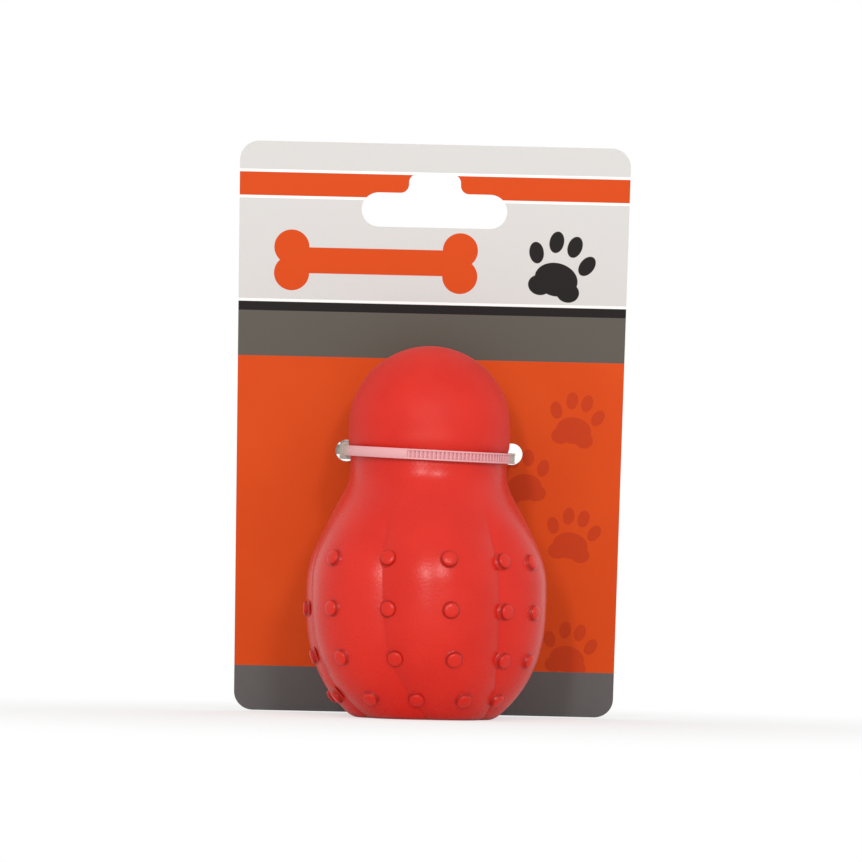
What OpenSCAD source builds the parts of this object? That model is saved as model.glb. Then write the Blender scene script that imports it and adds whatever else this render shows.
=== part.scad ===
// Rubber chew toy on its hang card: a hollow six-lobed rubber toy with nubs, held at
// its neck by a cable tie that passes through two punched holes in a leaning card.
// Millimetres. The origin is the centre of the toy's base, +Z runs up the toy's axis and
// -Y points to the viewer. Azimuths are counted from -Y, positive towards +X.

/* [Toy] */
// Height of the widest place above the base
bulge_z = 33.6; // [30:0.1:36]
// Height of the neck's middle above the widest place
neck_rise = 30.6; // [29:0.1:36]
// Height of the head's centre above the neck's middle
head_rise = 10.2; // [9:0.1:14]
// Radius of the round head
head_r = 20.6; // [20.2:0.1:22]
// Radius of the plain neck that the tie goes round
neck_r = 20; // [18:0.1:20.2]
// Height of the plain, round stretch of the neck
neck_land = 4.9; // [4:0.1:7]
// Height over which the neck widens into the head
head_flare_h = 3.2; // [2:0.1:5]
// Radius at the lobes' crests at the widest place
bulge_r = 31.4; // [29:0.1:34]
// Radius of the base at the lobes' crests
base_r = 18; // [16:0.1:20]
// Rounding of the base's edge
base_edge_r = 1.2; // [0.5:0.1:2]

/* [Lobes] */
// Number of lobes round the toy
lobes = 6; // [5:1:7]
// Height at which the valleys start to fade out
lobe_full_z = 44; // [38:1:48]
// Height at which the valleys are gone
lobe_end_z = 56.5; // [52:0.5:59]
// Turn of the lobes over the height of the widest place, in degrees
lobe_twist = 3; // [0:0.2:12]
// Further turn of the lobes near the base, in degrees
foot_twist = 22.5; // [0:0.5:28]

/* [Nubs] */
// Diameter of a nub at its foot
nub_d = 4.6; // [3.5:0.1:5]
// Height of a nub over the skin
nub_h = 1.35; // [0.8:0.05:1.8]

/* [Treat cavity] */
// Thickness of the rubber under the lobes' crests
toy_wall = 7; // [6:0.5:8]
// Thickness of the floor round the mouth
floor_t = 7; // [5:0.5:9]
// Radius of the mouth in the base
mouth_r = 11; // [9:0.5:12]

/* [Card] */
// Width of the card
card_w = 101.6; // [96:0.1:110]
// Height of the card
card_h = 152.4; // [140:0.1:165]
// Thickness of the board
card_t = 0.5; // [0.3:0.1:0.8]
// Radius of the card's corners
card_corner_r = 5; // [3:0.5:8]
// Forward lean of the card against the toy, in degrees
card_lean = 14; // [12:0.5:16]
// Gap between the card and the outermost nub or the head
card_gap = 0.3; // [0.3:0.1:1]
// Height of the card's lower edge above the surface
card_foot = 0.3; // [0:0.1:2]

/* [Hang slot] */
// Width of the hang slot
slot_w = 38; // [34:0.5:42]
// Height of the slot's long band
slot_h = 9; // [7:0.5:10]
// Distance of the band's middle from the card's top edge
slot_drop = 17.2; // [15:0.1:22]
// Width of the slot's raised middle
crown_w = 13.5; // [11:0.5:15]
// Height of the raised middle over the band
crown_h = 5; // [4:0.5:6]
// Rounding of the raised middle's corners and shoulders
crown_r = 2.2; // [1:0.1:2.4]

/* [Tie holes] */
// Distance between the two punched holes
hole_spread = 43.6; // [43.2:0.1:46]
// Radius of a punched hole
hole_r = 2.9; // [2.8:0.1:3.5]
// Height of the holes' centres over the tie's own height at the card
hole_rise = 0.4; // [0:0.05:0.5]

/* [Tie] */
// Width of the strap
strap_w = 2.6; // [2.4:0.1:2.7]
// Thickness of the strap
strap_t = 1.1; // [0.9:0.1:1.3]
// Gap between the strap's upper edge and the toy
tie_clear = 0.3; // [0.2:0.1:0.5]
// Height of the loop's centre over the neck's middle
tie_lift = 3.05; // [2.4:0.05:3.4]
// Rise of the loop towards the card, in degrees
tie_pitch = 4; // [3:0.5:6]
// Slant of the loop, left side higher, in degrees
tie_roll = 1.7; // [0:0.1:2.6]
// Radius of the strap's bend behind the card, at mid thickness
bend_r = 1.9; // [1.5:0.1:2.5]
// Length of the trimmed tail beyond the head
tail_l = 1.6; // [0.8:0.2:4]

/* [Ladder] */
// Distance between two ladder teeth
tooth_pitch = 1.05; // [0.9:0.05:1.4]
// Depth of the ladder below the strap's rails
tooth_depth = 0.45; // [0.35:0.05:0.5]
// Depth of the teeth's crests below the rails
tooth_shy = 0.1; // [0.05:0.01:0.12]
// Width of each rail beside the ladder
rail_w = 0.45; // [0.35:0.05:0.5]
// Azimuth on the loop at which the ladder begins, in degrees
ladder_start = -16; // [-40:1:0]

/* [Tie head] */
// Width of the head, along the strap's width
tie_head_w = 5; // [4.8:0.1:5.6]
// Length of the head along its slot
tie_head_l = 3.8; // [3.6:0.1:4.4]
// Wall between the slot and the card
head_floor = 1.1; // [0.9:0.1:1.5]
// Wall over the pawl's room
head_roof = 0.8; // [0.6:0.1:1.2]
// Wall at the slot's entry, which holds the pawl's root
head_entry = 0.7; // [0.7:0.1:0.9]
// Height of the pawl's room over the slot
pawl_room = 1.6; // [1.5:0.1:2]
// Rounding of the head's long edges
head_edge_r = 0.5; // [0.3:0.1:0.7]
// Gap between the strap and its slot, on each side
slot_clear = 0.12; // [0.08:0.01:0.15]
// Gap between the head and the card
head_gap = 0.1; // [0.05:0.05:0.3]

/* [Pawl] */
// Width of the pawl
pawl_w = 1.4; // [1.2:0.1:1.5]
// Radius of the pawl's round root
pawl_root_r = 0.35; // [0.3:0.01:0.38]
// Thickness of the pawl's tongue at its tip
pawl_t = 0.6; // [0.5:0.05:0.65]
// Distance of the pawl's tip past the middle of the slot
pawl_reach = 0.45; // [0.3:0.05:0.7]
// Play between the pawl's tip and the tooth that stops it
pawl_play = 0.3; // [0.3:0.05:0.4]
// Gap round the pawl's root and over the ladder
pawl_clear = 0.05; // [0.03:0.01:0.08]

/* [Hidden] */
$fn = 64;

neck_z = bulge_z + neck_rise;
head_z = neck_z + head_rise;
toy_h = head_z + head_r;
land_low = neck_z - neck_land / 2;
land_high = neck_z + neck_land / 2;
nub_r = nub_d / 2;
// How far a cut runs past the face it opens
cut_over = card_t;

// How the toy's outline leaves its widest place: steeply below, and above it at first
// slowly and then into the neck without an edge
belly_power = 2.96;
shoulder_round = 2.05;
shoulder_power = 1.75;
// Distance of a lobe arc's centre from the axis, as a share of the local radius
lobe_share = 0.38;
// Azimuth of the valley beside the front lobe, and where the twist is nought
valley_azimuth = -21.2;
untwisted_share = 0.92;
foot_share = 0.8;
foot_power = 3;
// Nub rows from the top down, as shares of the widest place's height
nub_row_shares = [1.18, 0.81, 0.452, 0.158];
// Nub columns: each one's lobe, its share across the lobe, and its first and last row
nub_column_shares = [
    [0, 0.05, 0, 3], [0, 0.54, 0, 3], [1, 0.06, 0, 3], [1, 0.35, 0, 2], [2, 0.56, 0, 3],
    [3, 0.05, 0, 3], [3, 0.54, 0, 3], [4, 0.06, 0, 3], [4, 0.45, 0, 3], [4, 0.87, 1, 3],
    [5, 0.56, 0, 3]
];

// Mesh fineness: columns over a lobe, and rings over each stretch of the toy
lobe_columns = 12;
belly_rings = 14;
shoulder_rings = 13;
flare_rings = 3;
head_rings = 10;
cavity_rings = 24;
// How much the lowest rings crowd towards the base, and the strap's steps round a curve
ring_crowding = 1.4;
neck_steps = 28;
bend_steps = 10;

function smooth(t) = let(c = min(max(t, 0), 1)) c * c * (3 - 2 * c);

// Radius of the toy at the lobes' crests, before the base's edge is rounded
function outline_r(z) =
    z < bulge_z ? bulge_r - (bulge_r - base_r) * pow(1 - z / bulge_z, belly_power)
    : z < land_low ? neck_r + (bulge_r - neck_r)
        * pow(1 - pow((z - bulge_z) / (land_low - bulge_z), shoulder_round), shoulder_power)
    : z < land_high ? neck_r
    : z < head_z ? neck_r + (head_r - neck_r) * smooth((z - land_high) / head_flare_h)
    : sqrt(max(head_r * head_r - (z - head_z) * (z - head_z), 0));

// What the rounding takes off the base's edge
function edge_cut(z) =
    z < base_edge_r ? base_edge_r - sqrt(base_edge_r * base_edge_r - pow(base_edge_r - z, 2)) : 0;

function crest_r(z) = outline_r(z) - edge_cut(z);

// Strength of the lobes at a height, and the azimuth of the first valley there
function lobe_at(z) = lobe_share * (1 - smooth((z - lobe_full_z) / (lobe_end_z - lobe_full_z)));
function twist_at(z) =
    let(h = min(z, lobe_end_z), foot = foot_share * bulge_z)
    lobe_twist * (untwisted_share - h / bulge_z) + foot_twist * pow(max(1 - h / foot, 0), foot_power);

// Radius across a lobe, an arc between two valleys: turn is counted from the crest
lobe_angle = 360 / lobes;
function lobed_r(z, turn) =
    let(k = lobe_at(z))
    crest_r(z) * (k * cos(turn) + sqrt(pow(1 - k, 2) - pow(k * sin(turn), 2)));

// A point on the skin: share runs across one lobe, from its valley to the next
function skin_point(z, lobe, share) =
    let(a = valley_azimuth + twist_at(z) + (lobe + share) * lobe_angle,
        r = lobed_r(z, (share - 0.5) * lobe_angle))
    [r * sin(a), -r * cos(a), z];

ring_heights = concat(
    [for (i = [0:belly_rings - 1]) bulge_z * pow(i / belly_rings, ring_crowding)],
    [for (i = [0:shoulder_rings - 1]) bulge_z + (land_low - bulge_z) * i / shoulder_rings],
    [land_low],
    [for (i = [0:flare_rings]) land_high + head_flare_h * i / flare_rings],
    [for (i = [0:head_rings - 1]) head_z + head_r * sin(90 * i / head_rings)]
);

module skin() {
    columns = lobes * lobe_columns;
    rings = len(ring_heights);
    points = concat(
        [for (z = ring_heights, c = [0:columns - 1])
            skin_point(z, floor(c / lobe_columns), (c % lobe_columns) / lobe_columns)],
        [[0, 0, 0], [0, 0, toy_h]]
    );
    foot = rings * columns;
    top_row = (rings - 1) * columns;
    sides = [for (r = [0:rings - 2], c = [0:columns - 1])
        let(n = (c + 1) % columns)
        each [[r * columns + c, (r + 1) * columns + c, (r + 1) * columns + n],
              [r * columns + c, (r + 1) * columns + n, r * columns + n]]];
    base = [for (c = [0:columns - 1]) [c, (c + 1) % columns, foot]];
    crown = [for (c = [0:columns - 1]) [top_row + (c + 1) % columns, top_row + c, foot + 1]];
    polyhedron(points, concat(sides, base, crown));
}

// Slope of the skin's outline: the angle of its outward normal above the horizontal
function normal_rise(z) =
    let(step = nub_h / 10)
    atan2(crest_r(z - step) - crest_r(z + step), 2 * step);

// A nub is the cap of a ball whose middle lies under the skin
nub_ball_r = (nub_r * nub_r + nub_h * nub_h) / (2 * nub_h);
module nub() {
    translate([0, 0, nub_h - nub_ball_r])
        sphere(r = nub_ball_r);
}

// The nubs stand in columns that follow the lobes' twist, some of them beside a valley
module nubs() {
    for (column = nub_column_shares, row = [column[2]:column[3]])
        if (column[0] < lobes) {
            z = nub_row_shares[row] * bulge_z;
            turn = valley_azimuth + twist_at(z) + (column[0] + column[1]) * lobe_angle;
            translate(skin_point(z, column[0], column[1]))
                rotate([0, 90 - normal_rise(z), turn - 90])
                    nub();
        }
}

// The hollow inside: the outline drawn in by the wall, with a flat floor round the mouth
module treat_cavity() {
    top = toy_h - toy_wall;
    heights = [for (i = [0:cavity_rings]) floor_t + (head_z - floor_t) * i / cavity_rings];
    dome_r = head_r - toy_wall;
    rotate_extrude()
        polygon(concat(
            [[0, floor_t]],
            [for (z = heights) [outline_r(z) - toy_wall, z]],
            [for (i = [1:head_rings - 1])
                [dome_r * cos(90 * i / head_rings), head_z + dome_r * sin(90 * i / head_rings)]],
            [[0, top]]
        ));
    translate([0, 0, -cut_over])
        cylinder(h = floor_t + 2 * cut_over, r = mouth_r);
}

module toy_body() {
    color([0.87, 0.2, 0.19])
        difference() {
            union() {
                skin();
                nubs();
            }
            treat_cavity();
        }
}

// The card leans against the toy: its front face lies at card_reach along its normal,
// just clear of the nub or the head that stands out most in that direction
card_normal = [0, cos(card_lean), sin(card_lean)];
function nub_reach(z) =
    let(tilt = normal_rise(z) - card_lean)
    crest_r(z) * cos(card_lean) + z * sin(card_lean)
        + (nub_h - nub_ball_r) * cos(tilt) + nub_ball_r;
card_reach = card_gap + max(
    max([for (row = nub_row_shares) nub_reach(row * bulge_z)]),
    head_z * sin(card_lean) + head_r
);
card_y = (card_reach - card_foot * sin(card_lean)) / cos(card_lean);

// Draws on the card: x across, y up along it, z towards its front
module on_card() {
    translate([0, card_y, card_foot])
        rotate([90 + card_lean, 0, 0])
            children();
}

// The loop lies in one plane: x across, y towards the card, z along the strap's width
loop_z = neck_z + tie_lift;
loop_origin = [0, 0, loop_z];
loop_x = [cos(tie_roll), 0, -sin(tie_roll)];
loop_y = [sin(tie_roll) * sin(tie_pitch), cos(tie_pitch), cos(tie_roll) * sin(tie_pitch)];
loop_axis = cross(loop_x, loop_y);
module in_loop() {
    translate(loop_origin)
        rotate([tie_pitch, tie_roll, 0])
            children();
}

// Where the loop's plane meets a plane of the card, at an x in the loop and a depth
// behind the card's front; half is how far a piece reaches along the strap's width
function card_in_loop(x, depth, half) =
    (card_reach + depth - card_normal * loop_origin - x * (card_normal * loop_x)
        + half * abs(card_normal * loop_axis)) / (card_normal * loop_y);

// The strap's route, at mid thickness: the left leg from the head forward through its
// hole, round the neck, the right leg back through its hole, a bend, and the run
// behind the card into the head. Each stretch has its length, its turn and its steps.
// The loop clears the toy where the strap's upper edge reaches the head's flare
hole_x = hole_spread / 2;
strap_top_z = loop_z + neck_r * abs(sin(tie_roll)) + strap_w / 2;
held_r = max(neck_r, outline_r(strap_top_z));
neck_loop_r = (held_r + tie_clear + strap_w / 2 * sin(tie_pitch)) / cos(tie_pitch) + strap_t / 2;
leg_y = card_in_loop(0, 0, 0);
leg_reach = norm([hole_x, leg_y]);
leg_l = sqrt(leg_reach * leg_reach - neck_loop_r * neck_loop_r);
leg_turn = acos(neck_loop_r / leg_reach) - atan2(leg_y, hole_x);

head_half_l = tie_head_l / 2;
channel_h = strap_t + 2 * slot_clear;
head_front_y = card_in_loop(-hole_x, card_t, tie_head_w / 2) + head_gap;
slot_y = head_front_y + head_floor + channel_h / 2;
run_y = card_in_loop(hole_x, card_t, strap_w / 2) + head_gap + strap_t / 2;
run_turn = atan((slot_y - run_y) / (hole_spread - bend_r));
left_pass = (head_front_y - head_gap / 2 - leg_y) / cos(leg_turn);
right_pass = (run_y - leg_y - bend_r) / cos(leg_turn);
bend_turn = 90 + leg_turn - run_turn;
run_l = hole_spread - bend_r + head_half_l + tail_l;

strap_start = [-leg_reach * cos(atan2(leg_y, hole_x)) - left_pass * sin(leg_turn),
               leg_y + left_pass * cos(leg_turn), -90 + leg_turn];
strap_route = [
    [left_pass + leg_l, 0, 1],
    [neck_loop_r * (180 - 2 * leg_turn) * PI / 180, 180 - 2 * leg_turn, neck_steps],
    [leg_l + right_pass, 0, 1],
    [bend_r * bend_turn * PI / 180, bend_turn, bend_steps],
    [run_l, 0, 1]
];

// The place and heading after a stretch of steady turn, and at a length along the route
function along(at, l, turn) =
    turn == 0 ? [at[0] + l * cos(at[2]), at[1] + l * sin(at[2]), at[2]]
    : let(r = l * 180 / (turn * PI))
        [at[0] + r * (sin(at[2] + turn) - sin(at[2])),
         at[1] - r * (cos(at[2] + turn) - cos(at[2])), at[2] + turn];
function route_at(s, at = strap_start, i = 0) =
    let(stretch = strap_route[i])
    s <= stretch[0] || i == len(strap_route) - 1
        ? along(at, s, stretch[1] * s / stretch[0])
        : route_at(s - stretch[0], along(at, stretch[0], stretch[1]), i + 1);
function route_sum(i) = i == 0 ? 0 : strap_route[i - 1][0] + route_sum(i - 1);
strap_l = route_sum(len(strap_route));
slot_s = strap_l - tail_l - head_half_l;

// A point beside the route, positive outwards from the loop
function beside(s, out) = let(p = route_at(s)) [p[0] + out * sin(p[2]), p[1] - out * cos(p[2])];

strap_steps = concat(
    [for (i = [0:len(strap_route) - 1], k = [0:strap_route[i][2] - 1])
        route_sum(i) + strap_route[i][0] * k / strap_route[i][2]],
    [strap_l]
);
inner_edge = [for (i = [len(strap_steps) - 1:-1:0]) beside(strap_steps[i], -strap_t / 2)];

// The ladder's teeth are counted from the pawl, which sits in one of them
ladder_s = strap_route[0][0] + neck_loop_r * (90 - leg_turn + ladder_start) * PI / 180;
pawl_s = slot_s + pawl_reach + pawl_play;
teeth_before = floor((pawl_s - ladder_s) / tooth_pitch);
teeth_after = floor((strap_l - pawl_s) / tooth_pitch) - 1;
tooth_low = strap_t / 2 - tooth_depth;
tooth_high = strap_t / 2 - tooth_shy;
tooth_slope = (tooth_high - tooth_low) / tooth_pitch;
ladder_edge = concat(
    [for (s = strap_steps) if (s < pawl_s - teeth_before * tooth_pitch) beside(s, strap_t / 2)],
    [for (i = [-teeth_before:teeth_after]) let(s = pawl_s + i * tooth_pitch)
        each [beside(s, i == -teeth_before ? strap_t / 2 : tooth_low), beside(s, tooth_high)]],
    [beside(pawl_s + (teeth_after + 1) * tooth_pitch, tooth_low),
     beside(pawl_s + (teeth_after + 1) * tooth_pitch, strap_t / 2), beside(strap_l, strap_t / 2)]
);

nylon_color = [0.93, 0.86, 0.86];

module strap_layer(low, high, outer_edge) {
    translate([0, 0, low])
        linear_extrude(high - low)
            polygon(concat(outer_edge, inner_edge));
}

module tie_strap() {
    rail_edge = [for (s = strap_steps) beside(s, strap_t / 2)];
    web_w = strap_w - 2 * rail_w;
    color(nylon_color)
        in_loop() {
            strap_layer(-strap_w / 2, -web_w / 2, rail_edge);
            strap_layer(-web_w / 2, web_w / 2, ladder_edge);
            strap_layer(web_w / 2, strap_w / 2, rail_edge);
        }
}

// Draws at the slot's middle: x along the strap to the tail, y away from the card
module in_slot() {
    p = route_at(slot_s);
    in_loop()
        translate([p[0], p[1], 0])
            rotate(p[2])
                mirror([0, 1, 0])
                    children();
}

// The pawl's root in the head, and how much of a tooth its tip lies along
pawl_root = [-head_half_l + head_entry + pawl_clear, (channel_h + pawl_room) / 2];
pawl_heel_share = 0.6;

// The head: a block with a slot for the strap, room over it for the pawl, and a round
// seat for the pawl's root in the wall at the entry
module tie_head() {
    depth = head_floor + channel_h + pawl_room + head_roof;
    room_w = pawl_w + 2 * slot_clear;
    color(nylon_color)
        in_slot()
            difference() {
                translate([0, depth / 2 - channel_h / 2 - head_floor, 0])
                    rotate([0, 90, 0])
                        translate([0, 0, -head_half_l])
                            linear_extrude(tie_head_l)
                                rounded_plate(tie_head_w, depth, head_edge_r);
                cube([2 * tie_head_l, channel_h, strap_w + 2 * slot_clear], center = true);
                translate([-head_half_l + head_entry, 0, -room_w / 2])
                    cube([tie_head_l, channel_h / 2 + pawl_room, room_w]);
                translate([pawl_root[0], pawl_root[1], -room_w / 2])
                    cylinder(h = room_w, r = pawl_root_r + pawl_clear);
            }
}

// The pawl: a round root in the entry wall and a tongue whose tip stands in the ladder.
// The play lets the tip swing clear of the next tooth as it is lifted
module tie_pawl() {
    tip = [pawl_reach, tooth_low + pawl_play * tooth_slope + pawl_clear];
    heel = tip + pawl_heel_share * tooth_pitch * [-1, tooth_slope];
    color(nylon_color)
        in_slot()
            translate([0, 0, -pawl_w / 2])
                linear_extrude(pawl_w) {
                    translate(pawl_root)
                        circle(r = pawl_root_r);
                    polygon([
                        tip,
                        [tip[0], tip[1] + pawl_t],
                        [pawl_root[0], pawl_root[1] + pawl_root_r],
                        [pawl_root[0], pawl_root[1] - pawl_root_r],
                        heel
                    ]);
                }
}

// A flat plate about its middle with round corners
module rounded_plate(w, h, r) {
    square([w - 2 * r, h], center = true);
    square([w, h - 2 * r], center = true);
    for (x = [-1, 1], y = [-1, 1])
        translate([x * (w / 2 - r), y * (h / 2 - r)])
            circle(r = r);
}

// The hang slot about its band's middle: a long band with round ends, and a raised
// middle whose shoulders flow into the band
module hang_slot() {
    square([slot_w - slot_h, slot_h], center = true);
    for (x = [-1, 1])
        translate([x * (slot_w - slot_h) / 2, 0])
            circle(d = slot_h);
    top = slot_h / 2 + crown_h;
    translate([-crown_w / 2 + crown_r, 0])
        square([crown_w - 2 * crown_r, top]);
    translate([-crown_w / 2, 0])
        square([crown_w, top - crown_r]);
    for (x = [-1, 1]) {
        translate([x * (crown_w / 2 - crown_r), top - crown_r])
            circle(r = crown_r);
        translate([x * (crown_w + crown_r) / 2, (slot_h + crown_r) / 2])
            difference() {
                square(crown_r, center = true);
                translate([x * crown_r / 2, crown_r / 2])
                    circle(r = crown_r);
            }
    }
}

module backing_card() {
    hole_top = (loop_z + leg_y * loop_y[2] - card_foot) / cos(card_lean) + hole_rise;
    color([0.85, 0.32, 0.13])
        on_card()
            translate([0, 0, -card_t])
                linear_extrude(card_t)
                    difference() {
                        translate([0, card_h / 2])
                            rounded_plate(card_w, card_h, card_corner_r);
                        translate([0, card_h - slot_drop])
                            hang_slot();
                        for (x = [-1, 1])
                            translate([x * hole_x, hole_top])
                                circle(r = hole_r);
                    }
}

toy_body();
tie_strap();
tie_head();
tie_pawl();
backing_card();
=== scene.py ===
# %% [markdown]
# A rubber chew toy on its hang card
#
# The object is a hollow rubber toy with six twisted lobes and four rows of nubs. A nylon
# cable tie goes round its neck and through two punched holes in a card with a hang slot.
# The card leans against the toy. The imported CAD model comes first, as the frame that
# fixes every size. After that each step makes one piece or one finish.

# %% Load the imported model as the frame
import math

import bpy
from mathutils import Euler, Matrix, Vector


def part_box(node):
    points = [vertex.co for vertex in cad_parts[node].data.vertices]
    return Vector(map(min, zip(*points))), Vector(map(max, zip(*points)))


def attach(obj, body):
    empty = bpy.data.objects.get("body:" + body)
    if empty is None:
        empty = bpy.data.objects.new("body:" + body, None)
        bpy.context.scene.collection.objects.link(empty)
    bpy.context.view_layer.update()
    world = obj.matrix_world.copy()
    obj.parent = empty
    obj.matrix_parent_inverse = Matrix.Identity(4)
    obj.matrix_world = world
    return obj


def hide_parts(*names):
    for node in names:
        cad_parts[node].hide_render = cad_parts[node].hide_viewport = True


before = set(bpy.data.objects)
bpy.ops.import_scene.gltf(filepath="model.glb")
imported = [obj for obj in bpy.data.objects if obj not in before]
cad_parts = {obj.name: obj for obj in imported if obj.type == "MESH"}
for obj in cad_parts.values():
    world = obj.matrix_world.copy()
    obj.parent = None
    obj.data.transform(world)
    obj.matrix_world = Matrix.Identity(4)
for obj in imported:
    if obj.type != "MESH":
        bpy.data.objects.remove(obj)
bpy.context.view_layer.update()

MM = 0.001

# %% [markdown]
# The camera
#
# The photograph was taken from three quarters of a metre away, a little above the table
# and looking slightly up, with the camera turned by a degree. A long lens gives that flat
# view. Its focal length is written in pixels of the square photograph, as a camera fit
# gives it, and turned into the millimetres that Blender asks for.

# %% Make the camera
scene = bpy.context.scene
PHOTO_WIDTH = 862
focal_pixels = 2985
camera_place = Vector((0.4, -762.2, 17.7)) * MM
camera_pitch = math.radians(4.17)
camera_roll = math.radians(1.3)

lens = bpy.data.cameras.new("photo_camera")
lens.sensor_width = 36
lens.lens = focal_pixels / PHOTO_WIDTH * lens.sensor_width
lens.clip_start = 0.01
camera = bpy.data.objects.new("photo_camera", lens)
turn = Matrix.Rotation(math.radians(90) + camera_pitch, 4, "X") @ Matrix.Rotation(camera_roll, 4, "Z")
camera.matrix_world = Matrix.Translation(camera_place) @ turn
scene.collection.objects.link(camera)
scene.camera = camera
scene.view_settings.view_transform = "Standard"
print("lens:", round(lens.lens, 1), "mm")

# %% [markdown]
# Sums in node trees
#
# Shaders and Geometry Nodes both do their sums with Math nodes. Wired by hand, a short
# formula takes twenty lines, and nobody can read it back. So a Wire wraps a socket, and
# Python's own operators add the nodes: `1 - mask * 0.5` makes two Math nodes. Sums on
# vectors and colours go to Vector Math, because a plain Math node would turn a colour grey.

# %% The wire
class Wire:
    """A socket on its way through a node tree. Sums on it add the nodes."""

    def __init__(self, net, socket):
        self.net = net
        self.socket = socket

    def math(self, operation, *values):
        flat = all(not isinstance(v, Wire) or v.socket.type not in ("VECTOR", "RGBA") for v in values)
        kind = "ShaderNodeMath" if flat else "ShaderNodeVectorMath"
        return self.net.add(kind, {"operation": operation}, dict(enumerate(values)))

    def __add__(self, other):
        return self.math("ADD", self, other)

    def __radd__(self, other):
        return self.math("ADD", other, self)

    def __sub__(self, other):
        return self.math("SUBTRACT", self, other)

    def __rsub__(self, other):
        return self.math("SUBTRACT", other, self)

    def __mul__(self, other):
        return self.math("MULTIPLY", self, other)

    def __rmul__(self, other):
        return self.math("MULTIPLY", other, self)

    def __truediv__(self, other):
        return self.math("DIVIDE", self, other)

    def __rtruediv__(self, other):
        return self.math("DIVIDE", other, self)

    def __pow__(self, other):
        return self.math("POWER", self, other)

    def __gt__(self, other):
        return self.math("GREATER_THAN", self, other)

    def sin(self):
        return self.math("SINE", self)

    def cos(self):
        return self.math("COSINE", self)

    def root(self):
        return self.math("SQRT", self)

    def size(self):
        return self.math("ABSOLUTE", self)

    def floor(self):
        return self.math("FLOOR", self)

    def fraction(self):
        return self.math("FRACT", self)

    def at_least(self, other):
        return self.math("MAXIMUM", self, other)

    def at_most(self, other):
        return self.math("MINIMUM", self, other)

    def parts(self):
        """The three numbers of a vector."""
        split = self.net.add("ShaderNodeSeparateXYZ", {}, {0: self}).socket.node
        return [Wire(self.net, socket) for socket in split.outputs]

    def rise(self, start, end):
        """0 before start, 1 after end, and smooth in between."""
        inputs = {"Value": self, "From Min": start, "From Max": end}
        return self.net.add("ShaderNodeMapRange", {"interpolation_type": "SMOOTHSTEP"}, inputs)


# %% [markdown]
# Adding nodes
#
# A Net holds the tree. Every node comes from its one method, which takes the node's type,
# then its settings, and then a number or a wire for each socket that is fed. The settings
# come first, because they decide which sockets the node has.

# %% The net
class Net:
    """A node tree, and the one way in which nodes are added to it."""

    def __init__(self, tree):
        self.tree = tree

    def add(self, kind, settings, inputs, output=0):
        """Adds a node, sets it, feeds its inputs with numbers or wires, and gives back an output."""
        node = self.tree.nodes.new(kind)
        for name, value in settings.items():
            setattr(node, name, value)
        for name, value in inputs.items():
            self.feed(node.inputs[name], value)
        return Wire(self, node.outputs[output])

    def feed(self, socket, value):
        if isinstance(value, Wire):
            self.tree.links.new(value.socket, socket)
        elif socket.type == "VECTOR" and isinstance(value, (int, float)):
            socket.default_value = (value, value, value)
        else:
            socket.default_value = value

    def vector(self, x, y, z):
        return self.add("ShaderNodeCombineXYZ", {}, {0: x, 1: y, 2: z})


# %% [markdown]
# Growing a shape
#
# Geometry Nodes make what follows a rule or repeats. Each tree below gets a start mesh,
# which holds the places, and named inputs, which hold the sizes. Named inputs also show in
# the modifier's panel, where they can be tried out by hand.

# %% The shape net
class ShapeNet(Net):
    """A Geometry Nodes tree with a start mesh and one named input for each size."""

    KINDS = {int: "NodeSocketInt", float: "NodeSocketFloat", bpy.types.Object: "NodeSocketObject"}

    def __init__(self, name, **sizes):
        super().__init__(bpy.data.node_groups.new(name, "GeometryNodeTree"))
        self.sizes = sizes
        sockets = self.tree.interface
        sockets.new_socket("start", in_out="INPUT", socket_type="NodeSocketGeometry")
        for label, value in sizes.items():
            sockets.new_socket(label, in_out="INPUT", socket_type=self.KINDS[type(value)])
        sockets.new_socket("made", in_out="OUTPUT", socket_type="NodeSocketGeometry")
        self.given = self.tree.nodes.new("NodeGroupInput")

    def size(self, label):
        return Wire(self, self.given.outputs[label])

    def attribute(self, name, kind="FLOAT"):
        return self.add("GeometryNodeInputNamedAttribute", {"data_type": kind}, {"Name": name})

    def place(self):
        return self.add("GeometryNodeInputPosition", {}, {})

    def sample(self, source, field, index, kind="FLOAT"):
        """The value that a field has at one numbered point of another mesh."""
        inputs = {"Geometry": source, "Value": field, "Index": index}
        return self.add("GeometryNodeSampleIndex", {"data_type": kind}, inputs)

    def shape_of(self, label):
        return self.add("GeometryNodeObjectInfo", {}, {"Object": self.size(label)}, "Geometry")

    def join(self, *shapes):
        joined = self.add("GeometryNodeJoinGeometry", {}, {})
        for shape in shapes:
            self.tree.links.new(shape.socket, joined.socket.node.inputs[0])
        return joined


# %% [markdown]
# From a tree to a plain mesh
#
# Left as a live modifier, a tree would be lost in other programs. So it runs once on its
# start mesh, the result is turned into a plain mesh, and the modifier goes. Realize
# Instances makes real mesh of every repeated copy before that.

# %% The step that grows a piece
def loose(name, mesh):
    """A new object at the origin, linked to the scene."""
    piece = bpy.data.objects.new(name, mesh)
    scene.collection.objects.link(piece)
    return piece


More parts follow.
